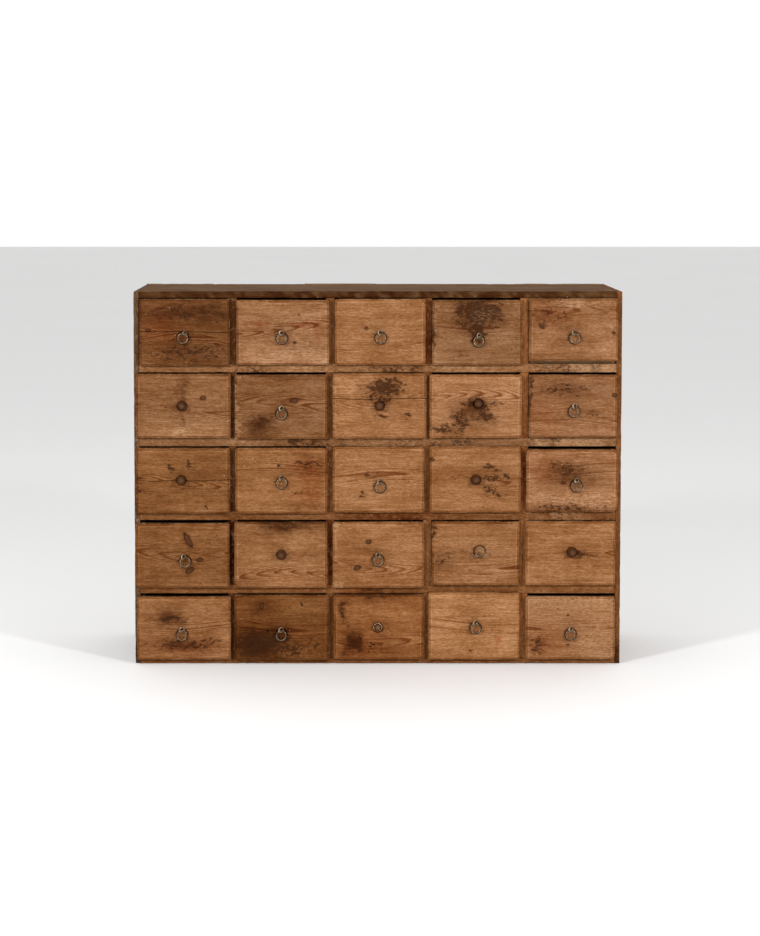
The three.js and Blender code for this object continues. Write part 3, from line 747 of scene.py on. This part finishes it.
def turned_wood():
    """Dark turned wood, waxed by many hands: paler where it is rubbed, nearly black elsewhere."""
    paint = Paint("turned_wood")
    place = paint.place()
    fine = paint.noise(place, (500, 120, 500), 4.0)
    broad = paint.noise(place, (130,) * 3, 2.0)
    rubbed = paint.split(paint.layer("tone")["Color"])[0]
    colour = paint.mix(paint.smooth(fine, 0.25, 0.75), srgb(22, 12, 7), srgb(54, 32, 18))
    colour = paint.mix(paint.smooth(broad, 0.35, 0.75, 0.0, 0.35), colour, srgb(88, 56, 31))
    colour = paint.cover(colour, srgb(122, 82, 52), rubbed, 0.4)
    rough = paint.smooth(fine, 0.3, 0.7, 0.45, 0.65)
    return paint.surface(colour, rough, fine, 0.2 * MM, 0.5, {"Specular IOR Level": 0.05})


WAXED = old_wood("waxed_pine", 0.68, 0.0)
DRY = old_wood("dry_pine", 0.8, 0.35)
# One iron at three brightnesses, partly painted light: the ring is painted darker as painted shade, the
# eye and the collar lighter as painted highlight.
RING_IRON = iron("ring_iron", 0.42)
EYE_IRON = iron("eye_iron", 0.85)
COLLAR_IRON = iron("collar_iron", 1.6)
NAIL_IRON = nail_iron()
TURNED = turned_wood()


# Wood -------------------------------------------------------------------------------------------


def knot_field(across, up, knots):
    """Distance from the nearest knot's middle, in its radii."""
    field = np.full(len(across), 9.0)
    for knot_across, knot_up, radius, slant, long in knots:
        angle = math.radians(slant)
        right, above = across - knot_across, up - knot_up
        along = right * math.cos(angle) + above * math.sin(angle)
        aside = above * math.cos(angle) - right * math.sin(angle)
        field = np.minimum(field, np.hypot(along / long, aside) / radius)
    return field


def figure(along, across, deep, pith, seed, knots):
    """Growth rings cut by the board: a number that rises by one from each ring to the next, and how
    near the pith they are. They lie round a pith that wanders along and part round the knots."""
    chance = np.random.default_rng(seed)
    swing = chance.uniform(6, 14) * MM
    length = chance.uniform(0.3, 0.6)
    centre = pith + swing * np.sin(2 * math.pi * (along / length + chance.random()))
    depth = chance.uniform(12, 30) * MM + chance.uniform(-0.08, 0.08) * (along - along.mean())
    parted = across.copy()
    for knot_along, knot_across, radius, _, long in knots:
        aside = across - knot_across
        near = ((along - knot_along) / (2.6 * radius * long)) ** 2 + (aside / (1.8 * radius)) ** 2
        parted -= aside * np.exp(-near)
    ring = chance.uniform(2.6, 3.6) * MM
    near = np.exp(-(((parted - centre) / (17 * MM)) ** 2))
    return np.hypot(parted - centre, depth + deep - deep.min()) / ring, near


def whole_knot(across, up, radius, slant=0, long=1.3):
    """A knot with its place as shares of half the board, and with what isn't said about it."""
    return across / 100, up / 100, radius * MM, slant, long


def paint_wood(verts, axes, tone, seed, pith=None, knots=(), marks=None, red=0.0, edge=0.0, lines=0.6):
    """The numbers that the wood material reads, for each vertex. axes names the board's length,
    width and thickness, as "xzy". Knots and marks lie on its length and width, in percent of half
    its size, and pith is a share of half its width. marks has a list for each kind."""
    along, across, deep = (verts[:, "xyz".index(axis)] for axis in axes)
    middles = [(side.min() + side.max()) / 2 for side in (along, across)]
    halves = [(side.max() - side.min()) / 2 for side in (along, across)]
    chance = np.random.default_rng(seed)
    pith = chance.uniform(-0.6, 0.6) if pith is None else pith
    placed = [
        (middles[0] + x * halves[0], middles[1] + y * halves[1], radius, slant, long)
        for x, y, radius, slant, long in itertools.starmap(whole_knot, knots)
    ]
    board = np.stack([along, across, deep], axis=1)
    grain = board + chance.uniform(0, 4, 3)
    phase, near = figure(along, across, deep, middles[1] + pith * halves[1], seed, placed)
    flat = np.stack([phase, knot_field(along, across, placed), lines * (0.35 + 1.5 * near)], axis=1)

    colour = np.repeat(np.array(tone)[None, :], len(verts), axis=0)
    bands = 0.08 * noise(board, (0.35, 0.03, 0.05), seed) + 0.15 * noise(board, 0.07, seed + 1)
    colour *= (1 + bands)[:, None] ** DEPTH
    warmth = red + 0.12 * noise(board, (0.2, 0.05, 0.05), seed + 2)
    colour *= 1 + (np.array([0.96, 0.8, 0.68]) - 1) * np.clip(warmth, -0.3, 1)[:, None]
    masks = np.zeros((len(verts), 4))
    masks[:, MASKS["wear"]] = edge
    wobble = [0.1 * noise(board, 0.022, seed + k) + 0.06 * noise(board, 0.009, seed + k) for k in (3, 4)]
    x = (along - middles[0]) / halves[0] + wobble[0]
    y = (across - middles[1]) / halves[1] + wobble[1] * halves[0] / max(halves[1], 0.02) * 0.5
    for kind, places in (marks or {}).items():
        for mark_x, mark_y, half_x, half_y, strength in np.array(places) / 100:
            far = np.hypot((x - mark_x) / half_x, (y - mark_y) / half_y)
            if kind in CASTS:
                share = strength * np.exp(-far * far)
                colour *= 1 + (np.array(CASTS[kind]) - 1) * share[:, None]
            else:
                share = strength * np.exp(-0.7 * far * far)
                masks[:, MASKS[kind]] = np.maximum(masks[:, MASKS[kind]], share)
    tones = np.concatenate([colour, np.ones((len(verts), 1))], axis=1)
    return {"tone": tones, "marks": masks, "figure": flat, "grain": grain}


def corners(node):
    low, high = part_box(node)
    return np.array(low), np.array(high)


def seeded(name):
    """A whole number of its own for each name."""
    return sum((index + 1) * ord(letter) for index, letter in enumerate(name))


def sawn_board(low, high, cuts, step, rims, uneven, seed):
    """A board with rounded edges: its vertices before and after they are rounded, its quads and how
    near each vertex is to an edge. rims are the places of extra vertices inside its faces."""
    verts, quads = block_mesh([(low, high)], cuts, step, (rims,) * 3)
    radius = rims[-1] * (1 - uneven + uneven * noise(verts, 0.03, seed))
    close = np.sort(np.minimum(verts - low, high - verts), axis=1)
    on_edge = np.exp(-close[:, 1] / (4 * MM))
    return verts, eased(verts, low, high, radius[:, None]), quads, on_edge


# The case ---------------------------------------------------------------------------------------


def case_board(node, axes, tone, slot, step, worn=1.6, cuts=(), material=WAXED, bare=0.42, **looks):
    """A board of the case, with rubbed edges and open slots, in place of its CAD node. worn is the
    radius of its edges in millimetres, and bare is how pale they are rubbed."""
    low, high = corners(node)
    seed = seeded(node)
    reach = worn * MM
    rims = (0.3 * reach, 0.65 * reach, reach)
    verts, shaped, quads, on_edge = sawn_board(low, high, cuts, step, rims, 0.25, seed)
    dent = np.clip(noise(verts, 0.014, seed + 5) - 0.4, 0, 1) * on_edge * 2.5 * MM
    inward = np.sign((low + high) / 2 - verts) * (np.minimum(verts - low, high - verts) < reach)
    shaped = shaped + inward * dent[:, None]
    layers = paint_wood(verts, axes, tone, seed, edge=bare * on_edge, **looks)
    piece = add_piece(node + "_wood", (shaped, quads), material, "carcass", layers)
    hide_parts(node)


def crossing_slots(node, others, from_back):
    """Where a shelf or partition is cut for the boards that cross it: half of its depth, and a
    little wider than they are thick."""
    low, high = corners(node)
    middle = (low[1] + high[1]) / 2
    slack = 0.3 * MM
    cuts = []
    for other in others:
        other_low, other_high = corners(other)
        across = 0 if from_back else 2
        cut_low, cut_high = low - 1, high + 1
        cut_low[across] = other_low[across] - slack
        cut_high[across] = other_high[across] + slack
        cut_low[1], cut_high[1] = (middle, high[1] + 1) if from_back else (low[1] - 1, middle)
        cuts.append((cut_low, cut_high))
    return cuts


def case_boards():
    flat, upright, side = (0.012, 0.025, 0.02), (0.02, 0.025, 0.012), (0.02, 0.018, 0.018)
    case_board(
        "top_board", "xyz", TOP_PINE, "top_pine", (0.012, 0.012, 0.02), 2.2, bare=0.12,
        knots=[(-55, 10, 6.8, 0, 1.7), (40, -40, 5.6, 0, 1.6), (78, 50, 4.5)],
        marks=dict(
            ruddy=[(0, EDGE, 150, 8, 90)],
            dirt_and_shade=[(0, EDGE, 150, 13, 90), (0, EDGE, 150, 10, 50)],
            pale=[(-70, -20, 25, 50, 25), (30, 20, 40, 50, 20)],
        ),
    )
    case_board("bottom_board", "xyz", CASE_PINE, "carcass_pine", flat)
    for shelf, tone, marks in zip(SHELVES, SHELF_TONES, SHELF_MARKS):
        cuts = crossing_slots(shelf, PARTITIONS, True)
        case_board(shelf, "xyz", tone, "carcass_pine", flat, cuts=cuts, marks=marks)
    # The partitions' front edges carry painted shade: darker and redder towards the left, and dark in
    # the deep gaps beside the fronts.
    for n, (partition, looks) in enumerate(zip(PARTITIONS, PARTITION_SHADE)):
        light, height, strength = looks
        marks = dict(
            ruddy=[(height, EDGE, 20, 30, 90)],
            dirt_and_shade=[(height, EDGE, 18, 30, strength), (height, EDGE, 15, 30, strength / 2)],
        )
        case_board(partition, "zyx", CASE_PINE * light, "carcass_pine", upright, marks=marks,
                   cuts=crossing_slots(partition, SHELVES, False), red=0.6 - 0.18 * n)
    knots = [(-60, 30, 7, 0, 1.2), (10, -40, 6), (70, 20, 5, 0, 1), (-20, 60, 4, 0, 1)]
    case_board("left_side", "zyx", SIDE_PINE, "carcass_pine", side, 2, knots=knots, marks=dict(
        scuff=[(-60, EDGE, 30, 6, 50)],
        wear=[(0, EDGE, 100, 5, 55)],
        dirt_and_shade=[(-100, 0, 15, 200, 60)],
        pale=[(30, 20, 40, 50, 30)],
    ))
    knots = [(-along, -across, *rest) for along, across, *rest in knots]
    case_board("right_side", "zyx", CASE_PINE * 0.9, "carcass_pine", side, 2, knots=knots, marks=dict(
        stain=[(-97, EDGE, 5, 10, 80), (35, 20, 6, 12, 60)],
        dirt_and_shade=[(-100, 0, 15, 200, 60), (90, 0, 15, 200, 40)],
        pale=[(-20, -30, 40, 50, 30)],
    ))
    for n, board in enumerate(BACK_BOARDS, 1):
        light = 1 + 0.2 * math.sin(2.4 * n)
        seams = [(0, seam, 300, 7, 90) for seam in (-100, 100)]
        knots = [
            (85 * math.sin(3.1 * n + k), 60 * math.cos(2.3 * n + 2 * k), 5 + 2 * math.sin(n + k), 0, 1.2)
            for k in range(3)
        ]
        case_board(board, "zxy", BACK_PINE * light, "back_pine", (0.018, 0.02, 0.02), 1,
                   material=DRY, knots=knots, marks=dict(dirt_and_shade=seams))


def nail_heads(name, spots, body, size):
    """Domed nail heads of about a size, each at a spot on a face, along the way that it looks."""
    parts = []
    for spot, way in spots:
        chance = np.random.default_rng(seeded(name) + len(parts))
        way = Vector(way) + Vector(chance.normal(0, 0.06, 3))
        turn = np.array(way.to_track_quat("-Y", "Z").to_matrix())
        radius = size * chance.uniform(0.85, 1.1)
        profile = [(0, -1.2 * MM), (0.5 * radius, -1.2 * MM), (radius, -0.1 * MM), (radius, 0.12 * MM),
                   (0.7 * radius, 0.38 * MM), (0, 0.5 * MM)]
        verts, faces = turned(profile, (0, 0, 0), 12)
        parts.append((verts @ turn.T + np.array(spot), faces))
    add_piece(name, joined(parts), NAIL_IRON, body, sharp=60)


def case_nails():
    """Nails through the sides into the ends of the boards, and through the back planks."""
    heights = [sum(corners(board))[2] / 2 for board in ("top_board", "bottom_board", *SHELVES)]
    for node, face, way in (("left_side", 0, -1), ("right_side", 1, 1)):
        box = corners(node)
        depths = [box[0][1] + share * (box[1][1] - box[0][1]) for share in (0.1, 0.36, 0.64, 0.9)]
        spots = [((box[face][0], y, z), (way, 0, 0)) for y in depths for z in heights]
        nail_heads(f"nails_{node}", spots, "carcass", CASE_NAIL)
    spots = []
    inset = 30 * MM
    for board in BACK_BOARDS:
        low, high = corners(board)
        for x, z in itertools.product((low[0] + inset, high[0] - inset), heights):
            spots.append(((x, high[1], z), (0, 1, 0)))
    nail_heads("nails_back", spots, "carcass", CASE_NAIL)


# The drawers ------------------------------------------------------------------------------------


class Drawer:
    """Where a drawer's parts lie, read from its CAD node."""

    def __init__(self, place):
        self.place = place
        self.node = f"drawer_{place}"
        points = np.array([vertex.co for vertex in frame["nodes"][self.node].data.vertices])
        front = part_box("left_side")[0].y - LIP_THICK - 0.5 * MM
        lip = points[np.abs(points[:, 1] - front) < 0.05 * MM]
        self.front = front
        self.lip_back = front + LIP_THICK
        self.low, self.high = lip.min(axis=0), lip.max(axis=0)
        box = points[points[:, 1] > self.lip_back + TONGUE_THICK + 1 * MM]
        self.box_low, self.box_high = box.min(axis=0), box.max(axis=0)
        pull = points[points[:, 1] < front - 1 * MM]
        self.pull_low, self.pull_high = pull.min(axis=0), pull.max(axis=0)
        middle = (self.pull_low + self.pull_high) / 2
        self.pull = np.array([middle[0], front, middle[2]])
        self.has_ring = f"ring_{place}" in frame["nodes"]
        self.looks = {**PLAIN_FRONT, **FRONTS[place]}


def front_boxes(drawer):
    """The lip of a drawer's front, and the tongue that enters the opening, as boxes."""
    lip_low = np.array([drawer.low[0], drawer.front, drawer.low[2]])
    lip_high = np.array([drawer.high[0], drawer.lip_back, drawer.high[2] - drawer.looks["sunk"] * MM])
    inset = BOX_SIDE + JOINT_GAP
    bottom = max(drawer.box_low[2], lip_low[2])
    back = drawer.lip_back + TONGUE_THICK
    tongue_low = np.array([drawer.box_low[0] + inset, drawer.lip_back, bottom])
    tongue_high = np.array([drawer.box_high[0] - inset, back, drawer.box_high[2]])
    return (lip_low, lip_high), (tongue_low, tongue_high)


def worn_outline(verts, low, high, inward, looks, seed):
    """A front's vertices across and up, with round corners and an uneven outline with bites."""
    flat = verts[:, [0, 2]]
    corner = looks["corner"] * MM * (1 + 0.3 * noise(verts, 0.05, seed + 6))[:, None]
    bite = 0.25 * (1 + noise(verts, 0.03, seed + 7))
    bite += looks["ragged"] * 2.2 * np.clip(noise(verts, 0.01, seed + 8) - 0.45, 0, 1)
    pull_in = np.exp(-np.maximum(inward, 0) / (4 * MM)) * np.sign((low + high) / 2 - flat)
    return eased(flat, low, high, corner) + pull_in * (bite * MM)[:, None]


def worn_face(verts, edge, seed):
    """How far a front's face lies back at each vertex: its rounded edge, the border round a field
    that stands a little above it, and a face that isn't quite flat."""
    width = 5 * MM * (1 + 0.3 * noise(verts, 0.04, seed + 9))
    depth = 2.4 * MM * (1 + 0.35 * noise(verts, 0.03, seed + 10))
    lean = 1 - np.minimum(edge / width, 1)
    drop = depth * (1 - np.sqrt(1 - lean**2)) + 0.15 * MM * (1 + noise(verts, 0.06, seed + 11))
    return drop + 0.5 * MM * (edge < 6.5 * MM)


def front_layers(drawer, verts, edge, seed):
    """What the material reads, with grime and painted shade along the edges, and a line of painted
    shade and a line of painted highlight round the field."""
    looks = drawer.looks
    rubbed = np.exp(-edge / (2.5 * MM)) * (0.5 + 0.3 * noise(verts, 0.04, seed + 13))
    layers = paint_wood(
        verts, "xzy", PINE * looks["light"], seed, looks["pith"], looks["knots"],
        front_marks(drawer), looks["red"], rubbed, looks["lines"],
    )
    # Darker along the edges: grime, and painted shade where the gap round the lip lies in shadow.
    grime_and_edge_shade = 0.45 * np.exp(-edge / (1.8 * MM))
    grime_and_edge_shade += np.exp(-edge / (10 * MM)) * (0.18 + 0.24 * noise(verts, 0.035, seed + 14))
    # A line of painted highlight on the field's edge, and a line of painted shade on the lower border
    # just outside it.
    worn = 0.6 + 0.6 * noise(verts, 0.05, seed + 15)
    line = 0.35 * worn * np.exp(-(((edge - FIELD_EDGE) / (1.2 * MM)) ** 2))
    line -= 0.5 * worn * np.exp(-(((edge - 5 * MM) / (1.2 * MM)) ** 2))
    layers["tone"][:, :3] *= ((1 - grime_and_edge_shade) * (1 + line))[:, None] ** DEPTH
    layers["pull"] = place_for_dirt_and_shadow(drawer, verts)
    return layers


def front_board(drawer):
    """A drawer's front: a worn lip with rounded edges, and a tongue that enters the opening."""
    crack = drawer.looks["crack"]
    seed = seeded(drawer.place)
    lip, tongue = front_boxes(drawer)
    low, high = lip
    split = low[2] + (high[2] - low[2]) / 2 * (1 + (crack or 0))
    beside_split = [] if crack is None else [split - 0.9 * MM, split, split + 0.9 * MM]
    rim = tuple(place * MM for place in (0.8, 1.8, 3.2, 5, 6.2, 7.2))
    step = (4.4 * MM, 5 * MM, 4.4 * MM)
    verts, quads = block_mesh([lip, tongue], (), step, (rim, (), rim), ((), (), beside_split))
    in_lip = verts[:, 1] <= high[1] + 1e-6
    on_front = verts[:, 1] < low[1] + 1e-6
    level = (high[1] - verts[:, 1]) / LIP_THICK  # from 0 at the back of the lip to 1 on its face
    flat_low, flat_high = low[[0, 2]], high[[0, 2]]
    inward = np.minimum(verts[:, [0, 2]] - flat_low, flat_high - verts[:, [0, 2]])
    edge = np.maximum(inward.min(axis=1), 0)

    shaped = verts.copy()
    outline = worn_outline(verts, flat_low, flat_high, inward, drawer.looks, seed)
    shaped[in_lip, 0], shaped[in_lip, 2] = outline[in_lip, 0], outline[in_lip, 1]
    shaped[in_lip, 1] += (worn_face(verts, edge, seed) * level)[in_lip]
    layers = front_layers(drawer, verts, edge, seed)
    if crack is not None:
        wander = 2.5 * MM * noise(verts * (1, 0, 0), 0.05, seed + 12)
        shaped[in_lip, 2] += (wander * np.exp(-(((verts[:, 2] - split) / (9 * MM)) ** 2)))[in_lip]
        on_split = on_front & (np.abs(verts[:, 2] - split) < 0.1 * MM)
        shaped[on_split, 1] += CRACK_DEPTH
        layers["marks"][on_split, MASKS["hole"]] = 1.2
    # Painted shade on the sides of the lip, round its outline.
    layers["tone"][(level < 0.7) & (edge < 0.1 * MM), :3] *= 0.3
    # Painted shade: the tongue, which lies inside the opening, is painted dark.
    layers["tone"][~in_lip, :3] = BOX_PINE * 0.3
    piece = add_piece(f"front_{drawer.place}", (shaped, quads), WAXED, drawer.node, layers)
    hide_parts(drawer.node)


def front_marks(drawer):
    """A front's own marks, with how yellow it is and the dirt that hands leave round its pull."""
    looks = drawer.looks
    marks = {kind: list(looks.get(kind, ())) for kind in (*CASTS, *MASKS) if kind in looks}
    share = (drawer.pull - (drawer.low + drawer.high) / 2) / ((drawer.high - drawer.low) / 2 + 1e-9)
    dirt = (100 * share[0], 100 * share[2], 22, 30, 30)
    marks["dirt_and_shade"] = [*marks.get("dirt_and_shade", ()), dirt]
    marks["amber"] = [(*ALL_OVER, 100 * looks["yellow"])]
    return marks


def place_for_dirt_and_shadow(drawer, verts):
    """Where each vertex lies from the middle of the dark line round a pull, in radii of it, and 1,
    which says how dark that is. The line is partly rubbed dirt and partly painted shadow of the pull."""
    if drawer.has_ring:
        centre, radius = sum(corners(f"ring_{drawer.place}")) / 2, RING_RADIUS
    else:
        # The knob's painted shadow is centred a little below it, where a shadow falls.
        centre, radius = drawer.pull - (0, 0, 1.5 * MM), 10 * MM
    across, up = (verts[:, 0] - centre[0]) / radius, (verts[:, 2] - centre[2]) / radius
    return np.stack([across, up, np.ones(len(verts))], axis=1)


def box_board(drawer, name, low, high, axes):
    """A plain sawn board of a drawer's box."""
    low, high = np.array(low), np.array(high)
    full_name = f"{name}_{drawer.place}"
    seed = seeded(full_name)
    step = [0.02 if axis == axes[0] else 0.016 for axis in "xyz"]
    rims = (0.4 * MM, 0.8 * MM)
    verts, shaped, quads, on_edge = sawn_board(low, high, (), step, rims, 0.2, seed)
    tone = BOX_PINE * (1 + 0.1 * math.sin(seed))
    chance = np.random.default_rng(seed)
    knots = [(*chance.uniform(-80, 80, 2), chance.uniform(2.5, 5), 0, 1.2) for _ in range(2)]
    marks = dict(dirt_and_shade=[(*chance.uniform(-100, 100, 2), 40, 40, 35) for _ in range(3)])
    layers = paint_wood(verts, axes, tone, seed, knots=knots, marks=marks, edge=0.3 * on_edge)
    add_piece(full_name, (shaped, quads), DRY, drawer.node, layers)


def drawer_box(drawer):
    """Two sides, a back between them, and a bottom nailed under all three."""
    low, high = drawer.box_low, drawer.box_high
    floor = low[2] + BOX_BOTTOM
    start = drawer.lip_back + JOINT_GAP
    inner = low[0] + BOX_SIDE, high[0] - BOX_SIDE
    above = floor + JOINT_GAP
    box_board(drawer, "side_left", (low[0], start, above), (inner[0], high[1], high[2]), "yzx")
    box_board(drawer, "side_right", (inner[1], start, above), high, "yzx")
    back_low = (inner[0] + JOINT_GAP, high[1] - BOX_SIDE, above)
    back_high = (inner[1] - JOINT_GAP, high[1] - 0.5 * MM, high[2] - 2 * MM)
    box_board(drawer, "back", back_low, back_high, "xzy")
    behind_tongue = drawer.lip_back + TONGUE_THICK + JOINT_GAP
    box_board(drawer, "bottom", (low[0], behind_tongue, low[2]), (high[0], high[1], floor), "xyz")
    heights = [low[2] + share * (high[2] - low[2]) for share in (0.15, 0.5, 0.85)]
    depths = (drawer.lip_back + 0.5 * TONGUE_THICK, high[1] - 0.5 * BOX_SIDE)
    spots = [
        ((x, y, z), (way, 0, 0))
        for x, way in ((low[0], -1), (high[0], 1)) for y in depths for z in heights
    ]
    nail_heads(f"nails_{drawer.place}", spots, drawer.node, BOX_NAIL)


def eye_leg(rear, drawer, side):
    """One leg of a wire eye, from its loop through the front and flat along the inside."""
    x, z = rear[0], rear[2] + side * LEG_GAP
    inside = drawer.lip_back + TONGUE_THICK + LEG_WIRE
    bend = [(x, drawer.front + 1 * MM, z), (x, inside - 1.6 * MM, z)]
    bend += [(x + side * 0.5 * MM, inside - 0.4 * MM, z), (x + side * 2 * MM, inside, z)]
    return [*map(np.array, bend), np.array([x + side * 11 * MM, inside + 0.2 * MM, z])]


def wire_eye(drawer):
    """A wire bent into an eye, its two legs through the front and clenched flat behind it."""
    off = drawer.front - drawer.pull_low[1] - EYE_WIRE
    reach = off - LOOP_OFF_FRONT  # how far the loop spans along Y
    centre = np.array([drawer.pull[0], drawer.front - LOOP_OFF_FRONT - reach / 2, drawer.pull[2]])
    turn = math.acos(min(1.0, reach / 2 / WIRE_LOOP))
    way = np.array([math.sin(turn), math.cos(turn), 0])
    up = np.array([0, 0, 1.0])
    half_height = (drawer.pull_high[2] - drawer.pull_low[2]) / 2 - EYE_WIRE
    rear = centre + way * WIRE_LOOP
    first = math.asin(LEG_GAP / half_height)
    angles = np.linspace(first, 2 * math.pi - first, 40)
    loop = [centre + way * WIRE_LOOP * math.cos(a) + up * half_height * math.sin(a) for a in angles]
    leg = eye_leg(rear, drawer, 1)[::-1]
    path = leg + loop + eye_leg(rear, drawer, -1)
    radius = np.full(len(path), EYE_WIRE)
    radius[: len(leg)] = radius[-len(leg) :] = LEG_WIRE
    add_piece(f"eye_{drawer.place}", swept(path, radius), EYE_IRON, drawer.node, sharp=70)


def wire_ring(drawer):
    """A ring of hand-bent wire, hung in the eye as its joint says."""
    name = f"ring_{drawer.place}"
    joint = next(joint for joint in frame["joints"] if joint["name"] == f"{drawer.place}_ring")
    pivot = np.array(joint["pos_m"], float)
    axis = np.array(joint["axis"], float)
    axis /= np.linalg.norm(axis)
    low, high = corners(name)
    down = (low + high) / 2 - pivot
    down /= np.linalg.norm(down)
    out = np.cross(axis, down)
    centre = pivot + down * RING_RADIUS
    chance = np.random.default_rng(seeded(name))
    pear = 0.07 if drawer.place in PEAR_RINGS else 0.02
    steps = 60
    angles = np.arange(steps) * 2 * math.pi / steps
    shifts = chance.uniform(0, 2 * math.pi, 3)
    path = []
    for angle in angles:
        narrow = 1 - pear * (1 + math.cos(angle)) / 2
        uneven = 1 + 0.018 * math.sin(2 * angle + shifts[0])
        sideways = axis * RING_RADIUS * narrow * uneven * math.sin(angle)
        upward = -down * RING_RADIUS * math.cos(angle)
        lift = out * 0.25 * MM * math.sin(2 * angle + shifts[1]) * math.sin(angle / 2)
        path.append(centre + sideways + upward + lift)
    radius = RING_WIRE * (1 + 0.05 * np.sin(3 * angles + shifts[2]) - 0.05 * (1 + np.cos(angles)) / 2)
    piece = add_piece(name + "_wire", swept(path, radius, 12, True), RING_IRON, name, sharp=70)
    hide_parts(name)


def knob_layers(verts, drawer, strength):
    """How far each vertex is rubbed pale, which is in the middle of the face."""
    spread = np.hypot(verts[:, 0] - drawer.pull[0], verts[:, 2] - drawer.pull[2])
    out = drawer.front - verts[:, 1]
    rubbed = strength * np.exp(-((spread / (6 * MM)) ** 2)) * (out > 5 * MM)
    return {"tone": np.stack([rubbed, rubbed, rubbed, np.ones(len(verts))], axis=1)}


def turned_pull(drawer, profile, tenon_radius, sides, rubbed):
    """A turned pull, from its profile's radii and distances out in millimetres, with its tenon
    through the front."""
    tenon = TONGUE_THICK + LIP_THICK
    whole = [(0, -tenon), (tenon_radius * MM, -tenon), *(np.array(profile) * MM)]
    verts, faces = turned(softened(whole), drawer.pull, sides)
    layers = knob_layers(verts, drawer, rubbed)
    add_piece(f"knob_{drawer.place}", (verts, faces), TURNED, drawer.node, layers, 60)


def knob(drawer):
    """A turned knob with a beaded rim and a dished face."""
    profile = [(4.2, -1), (5.4, 0.2), (5.2, 2.4), (4.6, 4), (6.4, 5.6), (9.4, 7.6), (10.1, 10.4),
               (10, 12.6), (8.6, 14.6), (6.8, 14.9), (5, 14), (2.4, 13.2), (0, 13.3)]
    turned_pull(drawer, profile, 4.2, 44, 1.0)


def stub(drawer):
    """The odd pull: a short brown button inside what is left of a bent metal collar."""
    profile = [(4.8, 0), (5.4, 1.6), (7.6, 3), (8, 6), (7.2, 8.6), (4.6, 9.6), (2, 9.1), (0, 9)]
    turned_pull(drawer, profile, 4.6, 40, 2.2)
    start, end = math.radians(-60), math.radians(215)
    foot = 1.2 * MM
    rings = []
    for share in np.arange(44) / 43:
        angle = start + share * (end - start)
        way = np.array([math.cos(angle), 0, math.sin(angle)])
        radius = (8.9 + 1.5 * share + 0.35 * math.sin(5 * angle)) * MM
        top = (6.6 + 1.6 * math.sin(2.3 * angle + 0.5)) * MM
        corners_of_strip = ((0, foot), (0.5 * MM, foot), (0.9 * MM, top), (0.2 * MM, top))
        rings.append([drawer.pull + (radius + spread) * way - (0, out, 0)
                      for spread, out in corners_of_strip])
    shape = tube(np.array(rings))
    add_piece(f"collar_{drawer.place}", shape, COLLAR_IRON, drawer.node, sharp=50)


def drawers():
    for place in PLACES:
        drawer = Drawer(place)
        front_board(drawer)
        drawer_box(drawer)
        if drawer.has_ring:
            wire_eye(drawer)
            wire_ring(drawer)
        elif place == "r5c3":
            stub(drawer)
        else:
            knob(drawer)


# The studio -------------------------------------------------------------------------------------


def floor():
    """A plain pale floor, a hair below what stands on it."""
    paint = Paint("studio_floor")
    soft = paint.noise(paint.place(), (0.7,) * 3, 2.0)
    colour = paint.mix(soft, (0.74, 0.74, 0.735), (0.77, 0.77, 0.765))
    paint.feed(paint.shader, {"Base Color": colour, "Roughness": 0.8})
    half = 30.0
    mesh = bpy.data.meshes.new("floor")
    verts = [(x, y, 0) for x, y in ((-half, -half), (half, -half), (half, half), (-half, half))]
    mesh.from_pydata(verts, [], [(0, 1, 2, 3)])
    mesh.materials.append(paint.material)
    plane = bpy.data.objects.new("floor", mesh)
    plane.location.z = -0.5 * MM
    bpy.context.scene.collection.objects.link(plane)


def area_light(name, place, power):
    """A small soft lamp that looks at the middle of the cabinet."""
    middle = (cad_box[0] + cad_box[1]) / 2
    light = bpy.data.lights.new(name, "AREA")
    light.size = 0.45
    light.energy = power
    lamp = bpy.data.objects.new(name, light)
    lamp.location = place
    lamp.rotation_euler = (middle - Vector(place)).to_track_quat("-Z", "Y").to_euler()
    bpy.context.scene.collection.objects.link(lamp)


def studio():
    """A lamp on each side and a soft sky, which is brightest above and behind the cabinet."""
    area_light("key", (-3.0, -3.2, 2.3), 138)
    area_light("fill", (3.0, -3.2, 2.0), 120)
    world = bpy.data.worlds.new("studio")
    world.use_nodes = True
    tree = world.node_tree
    sky = tree.nodes["Background"]
    sky.inputs["Color"].default_value = (1, 1, 1, 1)
    place = tree.nodes.new("ShaderNodeTexCoord")
    part = tree.nodes.new("ShaderNodeVectorMath")
    part.operation = "DOT_PRODUCT"
    part.inputs[1].default_value = (0, 1, 0.8)
    level = tree.nodes.new("ShaderNodeMapRange")
    level.interpolation_type = "SMOOTHSTEP"
    for index, value in enumerate((-0.5, 0.7, 0.4, 1.05), 1):
        level.inputs[index].default_value = value
    tree.links.new(place.outputs["Generated"], part.inputs[0])
    tree.links.new(part.outputs["Value"], level.inputs[0])
    tree.links.new(level.outputs[0], sky.inputs["Strength"])
    bpy.context.scene.world = world
    bpy.context.scene.view_settings.view_transform = "Standard"


def camera():
    """Straight on from a little above, with the lens shifted down as a view camera's is."""
    distance, height, tilt = 4.87, 1.2, math.radians(3.35)
    view = bpy.data.cameras.new("camera")
    view.lens = 76.5
    view.shift_x = 0.0393
    view.shift_y = -0.185
    eye = bpy.data.objects.new("camera", view)
    eye.location = (-0.085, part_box("left_side")[0].y - distance, height)
    eye.rotation_euler = (math.pi / 2 - tilt, 0, 0)
    bpy.context.scene.collection.objects.link(eye)
    bpy.context.scene.camera = eye


case_boards()
case_nails()
drawers()
floor()
studio()
camera()

bpy.context.view_layer.update()
